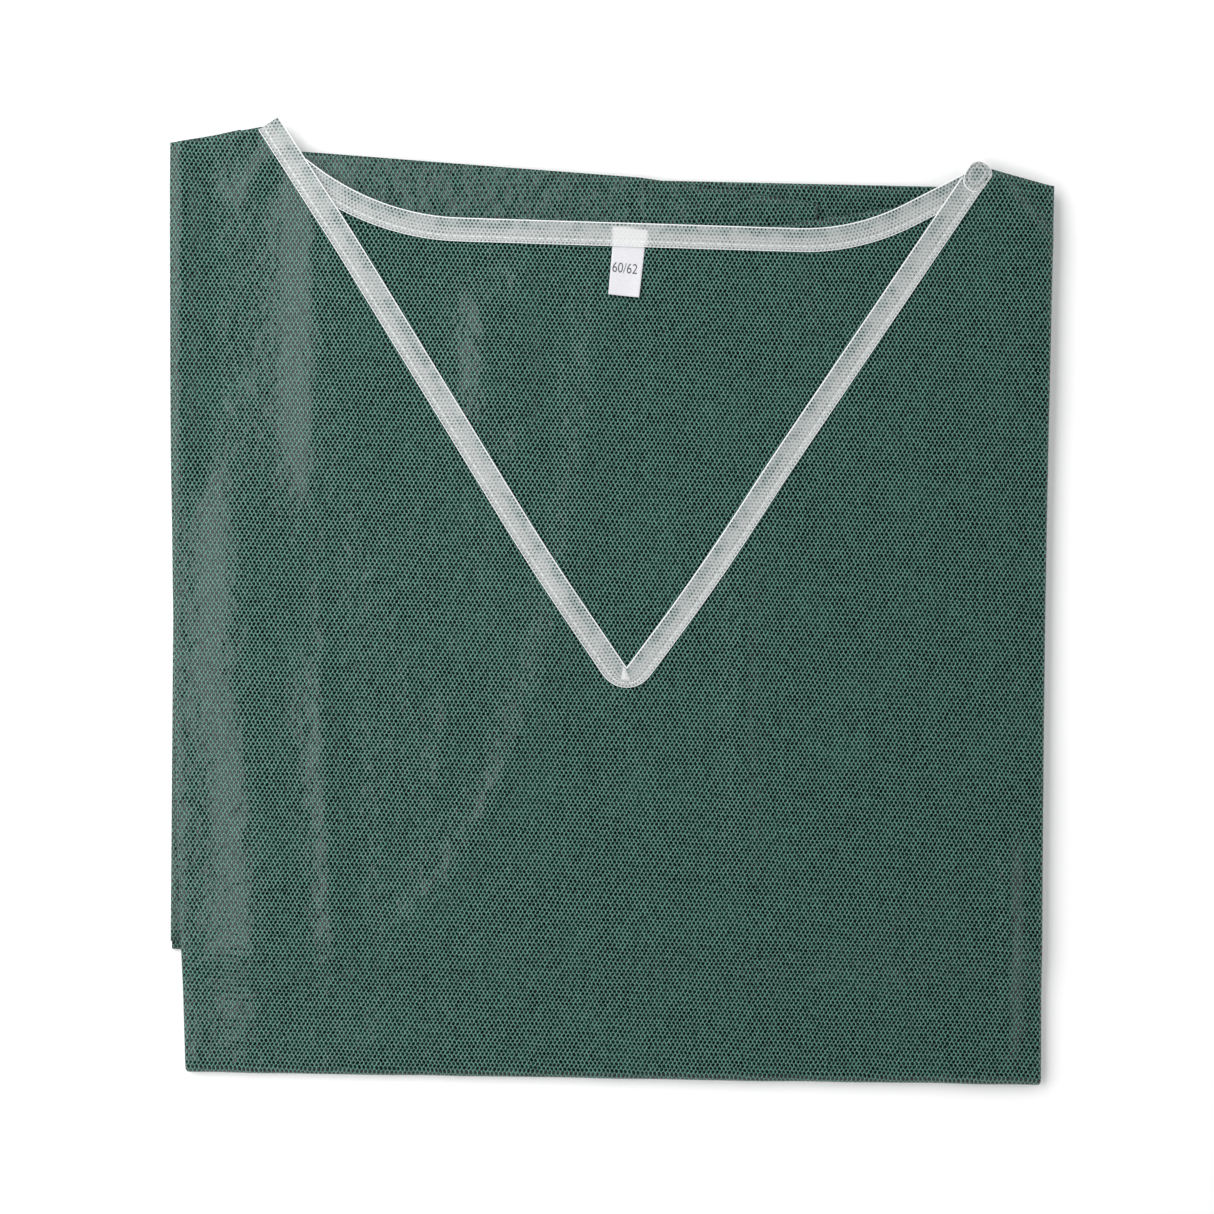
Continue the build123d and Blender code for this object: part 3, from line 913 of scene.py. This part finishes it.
class Nodes:
    """Shader nodes, built from formulas."""

    def __init__(self, tree):
        self.tree = tree

    def node(self, kind, feeds=(), **settings):
        node = self.tree.nodes.new("ShaderNode" + kind)
        for key, value in settings.items():
            setattr(node, key, value)
        for key, value in dict(feeds).items():
            self.feed(node.inputs[key], value)
        return node

    def feed(self, socket, value):
        if isinstance(value, bpy.types.NodeSocket):
            self.tree.links.new(value, socket)
        else:
            socket.default_value = value

    def math(self, operation, *values):
        node = self.node("Math", operation=operation)
        for socket, value in zip(node.inputs, values):
            self.feed(socket, value)
        return node.outputs[0]

    def plus(self, a, b):
        return self.math("ADD", a, b)

    def minus(self, a, b):
        return self.math("SUBTRACT", a, b)

    def times(self, a, b):
        return self.math("MULTIPLY", a, b)

    def over(self, a, b):
        return self.math("DIVIDE", a, b)

    def scaled(self, value, factor, start):
        """The start, and the value times the factor added to it."""
        return self.math("MULTIPLY_ADD", value, factor, start)

    def split(self, vector):
        return self.node("SeparateXYZ", {0: vector}).outputs

    def uv(self, layer):
        return self.split(self.node("UVMap", uv_map=layer).outputs[0])[:2]

    def vector(self, x, y, z=0.0):
        return self.node("CombineXYZ", {0: x, 1: y, 2: z}).outputs[0]

    def noise(self, vector, scale, detail=2.0, roughness=0.5, seed=0.0):
        feeds = {"Vector": vector, "Scale": scale, "Detail": detail, "Roughness": roughness, "W": seed}
        return self.node("TexNoise", feeds, noise_dimensions="4D").outputs[0]

    def ramp(self, value, low, high, to_low=0.0, to_high=1.0):
        """Smooth step of a value from one level to another."""
        feeds = {"Value": value, "From Min": low, "From Max": high, "To Min": to_low, "To Max": to_high}
        return self.node("MapRange", feeds, interpolation_type="SMOOTHSTEP").outputs[0]

    def mix(self, share, one, other):
        node = self.node("Mix", data_type="RGBA")
        for key, value in ((0, share), (6, one), (7, other)):
            self.feed(node.inputs[key], value)
        return node.outputs[2]


class Shader(Nodes):
    """A node material."""

    def __init__(self, name, **constants):
        self.material = bpy.data.materials.new(name)
        self.material.use_nodes = True
        super().__init__(self.material.node_tree)
        self.surface = next(n for n in self.tree.nodes if n.type == "BSDF_PRINCIPLED")
        for socket, value in constants.items():
            self.surface.inputs[socket.replace("_", " ")].default_value = value

    def color(self, value):
        self.feed(self.surface.inputs["Base Color"], value)

    def rough(self, value):
        self.feed(self.surface.inputs["Roughness"], value)

    def bump(self, height, depth):
        """Bump of a height from 0 to 1, with the depth in millimetres."""
        node = self.node("Bump", {"Height": height, "Distance": depth * MM, "Strength": 1.0})
        self.feed(self.surface.inputs["Normal"], node.outputs[0])


def embossed(shader, u, v, pitch, row_pitch, half_axes, tilt):
    """Embossed points in staggered rows, leaning one way and the other by turns. Gives where they are, their
    depth, which is greatest at one side, a painted highlight beside them at that side, and a random colour of
    each point."""
    row = shader.math("FLOOR", shader.over(v, row_pitch))
    odd = shader.math("FLOORED_MODULO", row, 2.0)
    along = shader.scaled(odd, 0.5, shader.over(u, pitch))
    cell = shader.math("FLOOR", along)
    feeds = {"Vector": shader.vector(cell, row)}
    chance = shader.node("TexWhiteNoise", feeds, noise_dimensions="2D").outputs["Color"]
    shift_x, shift_y, size = shader.split(chance)
    x = shader.minus(shader.minus(along, cell), 0.5)
    x = shader.scaled(shader.minus(shift_x, 0.5), 0.06, x)
    x = shader.times(x, pitch)
    y = shader.minus(shader.minus(shader.over(v, row_pitch), row), 0.5)
    y = shader.scaled(shader.minus(shift_y, 0.5), 0.06, y)
    y = shader.times(y, row_pitch)
    lean = shader.scaled(odd, 2 * sin(tilt), -sin(tilt))
    long_way = shader.plus(shader.times(x, lean), shader.times(y, cos(tilt)))
    short_way = shader.minus(shader.times(x, cos(tilt)), shader.times(y, lean))
    squares = [
        shader.math("POWER", shader.math("ABSOLUTE", shader.over(way, half)), 2.0)
        for way, half in zip((long_way, short_way), half_axes)
    ]
    away = shader.math("SQRT", shader.plus(*squares))
    away = shader.times(away, shader.scaled(size, -0.2, 1.1))
    # rim: a painted highlight, a ring of net just past each point, kept only at one side as if its edge
    # caught the light
    rim = shader.times(shader.ramp(away, 0.95, 1.15), shader.ramp(away, 1.25, 1.7, 1.0, 0.0))
    rim = shader.times(rim, shader.ramp(short_way, 0.1, 0.35))
    dots = shader.ramp(away, 0.82, 1.1, 1.0, 0.0)
    deeper = shader.ramp(short_way, -half_axes[1], half_axes[1], 0.3, 1.0)
    return dots, shader.times(dots, deeper), rim, chance


def cloth_material():
    shader = Shader("green_nonwoven", IOR=1.5, Specular_IOR_Level=0.36)
    u, v = shader.uv("cloth")
    place = shader.vector(u, v)
    feeds = {"Vector": place, "Scale": 0.06, "Detail": 1.0}
    stray = shader.split(shader.node("TexNoise", feeds, noise_dimensions="2D").outputs["Color"])
    strayed = [shader.scaled(stray[k], 1.2, value) for k, value in enumerate((u, v))]
    dots, hollow, rim, chance = embossed(shader, *strayed, DOT_PITCH, ROW_PITCH, (0.9, 0.68), radians(28))
    strength = shader.split(chance)[1]
    # Broad patches where the embossed points fade a little: painted sheen washing them out
    painted_sheen_patches = shader.noise(place, 0.035, 3.0, 0.6, 1.0)
    fibres = shader.noise(shader.vector(shader.times(u, 1.6), shader.times(v, 0.8)), 1.0, 4.0, 0.7, 2.0)
    net = shader.mix(shader.ramp(fibres, 0.34, 0.68), (0.014, 0.062, 0.049, 1), (0.074, 0.192, 0.155, 1))
    # Painted highlight: the net is lightened at one side of each point
    painted_highlight = shader.times(rim, shader.ramp(fibres, 0.3, 0.6, 0.4, 0.9))
    net = shader.mix(painted_highlight, net, (0.16, 0.34, 0.28, 1))
    share = shader.times(dots, shader.scaled(strength, 0.1, 0.9))
    share = shader.times(share, shader.ramp(painted_sheen_patches, 0.45, 0.8, 1.0, 0.88))
    shader.color(shader.mix(share, net, (0.0004, 0.002, 0.0016, 1)))
    shader.rough(shader.ramp(dots, 0.3, 1.0, 0.36, 0.14))
    crumples = shader.noise(place, 0.11, 3.0, 0.62, 12.0)
    relief = shader.scaled(fibres, 0.14, shader.minus(1.0, hollow))
    shader.bump(shader.scaled(crumples, 9.0, relief), 0.12)
    return shader.material


def tape_material():
    shader = Shader("binding_tape", Sheen_Weight=0.05, Sheen_Roughness=0.5, IOR=1.5, Specular_IOR_Level=0.35)
    u, v = shader.uv("cloth")
    share, label = shader.uv("across")
    dots, hollow, _, _ = embossed(shader, u, v, 1.75, 1.5, (0.56, 0.42), radians(28))
    place = shader.vector(u, v)
    fibres = shader.noise(shader.vector(shader.times(u, 1.6), v), 1.8, 4.0, 0.7, 5.0)
    cloud = shader.noise(place, 0.12, 3.0, 0.6, 6.0)
    near = shader.ramp(share, 0.32, 0.46, 1.0, 0.0)
    near = shader.times(near, shader.ramp(cloud, 0.36, 0.6, 1.0, 0.35))
    near = shader.times(near, shader.minus(1.0, label))
    base = shader.mix(shader.ramp(fibres, 0.32, 0.7), (0.25, 0.27, 0.268, 1), (0.60, 0.615, 0.61, 1))
    base = shader.mix(shader.times(near, 0.6), base, (0.22, 0.30, 0.285, 1))
    base = shader.mix(label, base, (0.62, 0.63, 0.63, 1))
    dark = shader.mix(near, (0.13, 0.16, 0.155, 1), (0.008, 0.025, 0.023, 1))
    depth = shader.times(dots, shader.ramp(cloud, 0.35, 0.65, 1.0, 0.45))
    depth = shader.times(depth, shader.scaled(label, -0.85, 1.0))
    colour = shader.mix(depth, base, dark)
    # Painted highlight: a lighter band along the stitches, as if their groove caught the light
    seam = shader.math("ABSOLUTE", shader.minus(share, STITCH_AT))
    seam = shader.ramp(seam, 0.02, 0.06, 0.5, 0.0)
    # Painted highlights: both edges of the tape, and the stitch band, are lightened towards white
    edge = shader.math("MAXIMUM", shader.ramp(share, 0.96, 0.985), shader.ramp(share, -0.01, 0.03, 1.0, 0.0))
    edge = shader.math("MAXIMUM", edge, shader.times(seam, shader.ramp(fibres, 0.4, 0.6)))
    shader.color(shader.mix(edge, colour, (0.76, 0.78, 0.78, 1)))
    shader.rough(0.5)
    shader.bump(shader.scaled(fibres, 0.5, shader.minus(1.0, hollow)), 0.12)
    return shader.material


def label_material():
    shader = Shader("label_satin", Sheen_Weight=0.05, IOR=1.45)
    u, v = shader.uv("cloth")
    ribs = shader.math("SINE", shader.times(v, 2 * pi / RIB_PITCH))
    place = shader.vector(shader.times(u, 0.3), shader.times(v, 4.0))
    threads = shader.noise(place, 1.0, 3.0, 0.6, 7.0)
    shader.color(shader.mix(shader.ramp(threads, 0.3, 0.7), (0.59, 0.59, 0.62, 1), (0.67, 0.67, 0.70, 1)))
    shader.rough(0.42)
    shader.bump(shader.scaled(threads, 0.8, shader.times(ribs, 0.25)), 0.03)
    return shader.material


def speckled(name, noise, shares, colours, rough, **constants):
    """A plain material with a speckled colour, and its specks."""
    shader = Shader(name, **constants)
    specks = shader.noise(shader.node("TexCoord").outputs["Object"], *noise)
    shader.color(shader.mix(shader.ramp(specks, *shares), *colours))
    shader.rough(rough)
    return shader, specks


def thread_material():
    colours = (0.6, 0.62, 0.62, 1), (0.86, 0.87, 0.87, 1)
    noise = 5200.0, 2.0, 0.6, 8.0
    shader, twist = speckled("sewing_thread", noise, (0.3, 0.7), colours, 0.5, Sheen_Weight=0.1, IOR=1.5)
    shader.bump(twist, 0.05)
    return shader.material


def ink_material():
    colours = (0.035, 0.037, 0.042, 1), (0.12, 0.125, 0.135, 1)
    shader, _ = speckled("printed_ink", (3500.0, 2.0, 0.5, 9.0), (0.3, 0.8), colours, 0.7, IOR=1.45)
    return shader.material


CLOTH, TAPE, LABEL = cloth_material(), tape_material(), label_material()
THREAD, INK = thread_material(), ink_material()


# -------- the gown


def covered(ply, fold, centres, flaps):
    """The CAD nodes that half of a panel stands for. `centres` and `flaps` are thirds."""
    nodes = [f"{ply}_panel_{third}" for third in centres] + [fold]
    for side in SIDES:
        nodes += [f"{side}_flap_{ply}_{third}" for third in flaps]
        nodes += [f"{side}_side_fold_{third}" for third in flaps]
    return nodes


def make_panels():
    for ply, spacing in (("front", FINE), ("back", MEDIUM)):
        panel = Panel(ply)
        nodes = covered(ply, "foot_fold", ("chest", "middle"), ("chest",))
        panel_piece(panel, f"{ply}_panel_upper", chest_piece, panel.round_foot,
                    nodes, spacing)
        nodes = covered(ply, "top_fold", ("hem", "middle"), ("middle", "hem"))
        panel_piece(panel, f"{ply}_panel_lower", hem_piece, panel.round_top,
                    nodes, COARSE)


def make_seams():
    for side in SIDES:
        for third in THIRDS:
            seam_piece(f"{side}_side_seam_{third}", [(third, side, True)])
        seam_piece(f"{side}_shoulder_seam", [("chest", "centre", True), ("chest", side, False)])


def make_neck():
    front, point = v_binding()
    back = back_binding()
    on_chest(front.mesh("v_binding"), "binding_tape", TAPE, "v_binding_left", "v_binding_right")
    on_chest(back.mesh("back_neck_binding_tape"), "binding_tape", TAPE, "back_neck_binding")
    on_chest(front.stitches("v_stitches"), "sewing_thread", THREAD, "v_stitching")
    on_chest(back.stitches("back_neck_stitches"), "sewing_thread", THREAD,
             "back_neck_stitching", "size_label_stitching")
    mitre_piece(point)
    lap_piece()
    label_piece()
    label_print()


# -------- the studio


def make_floor():
    mesh = bpy.data.meshes.new("floor")
    corners = [(FLOOR_HALF * x, FLOOR_HALF * y, 0) for x, y in ((-1, -1), (1, -1), (1, 1), (-1, 1))]
    mesh.from_pydata(corners, [], [(0, 1, 2, 3)])
    floor = into_scene("floor", mesh)
    shader = Shader("pale_floor")
    specks = shader.noise(shader.node("TexCoord").outputs["Object"], 3.0, 2.0, 0.5, 10.0)
    shader.color(shader.mix(specks, (0.95, 0.95, 0.95, 1), (0.96, 0.96, 0.96, 1)))
    shader.rough(0.7)
    mesh.materials.append(shader.material)


def key_light():
    """A large flat softbox, which faces down from the upper left."""
    light = bpy.data.lights.new("key_softbox", "AREA")
    light.shape, light.energy = "RECTANGLE", LIGHT_POWER
    light.size, light.size_y = LIGHT_SIZE
    into_scene("key_softbox", light).location = LIGHT_AT


def light_tent():
    """Pale walls all round, brighter at the right, and a dark opening over the gown."""
    world = bpy.data.worlds.new("light_tent")
    world.use_nodes = True
    tent = Nodes(world.node_tree)
    x, _, z = tent.split(tent.node("TexCoord").outputs["Generated"])
    background = tent.tree.nodes["Background"].inputs
    strength = tent.times(tent.scaled(x, 0.35, 1.0), tent.ramp(z, 0.74, 0.9, 1.0, 0.03))
    tent.feed(background["Strength"], strength)
    tent.feed(background["Color"], (1, 1, 1, 1))
    bpy.context.scene.world = world


def make_studio():
    make_floor()
    key_light()
    light_tent()
    scene = bpy.context.scene
    scene.view_settings.view_transform = "Standard"
    camera = bpy.data.cameras.new("camera")
    camera.lens, camera.sensor_width = LENS, SENSOR
    low, high = (Vector(c) for c in CAD_BOX)
    centre = (low + high) / 2
    scene.camera = into_scene("camera", camera)
    scene.camera.location = (centre.x + AIM[0], centre.y + AIM[1], high.z + FIELD * LENS / SENSOR)


make_panels()
make_seams()
make_neck()
make_studio()
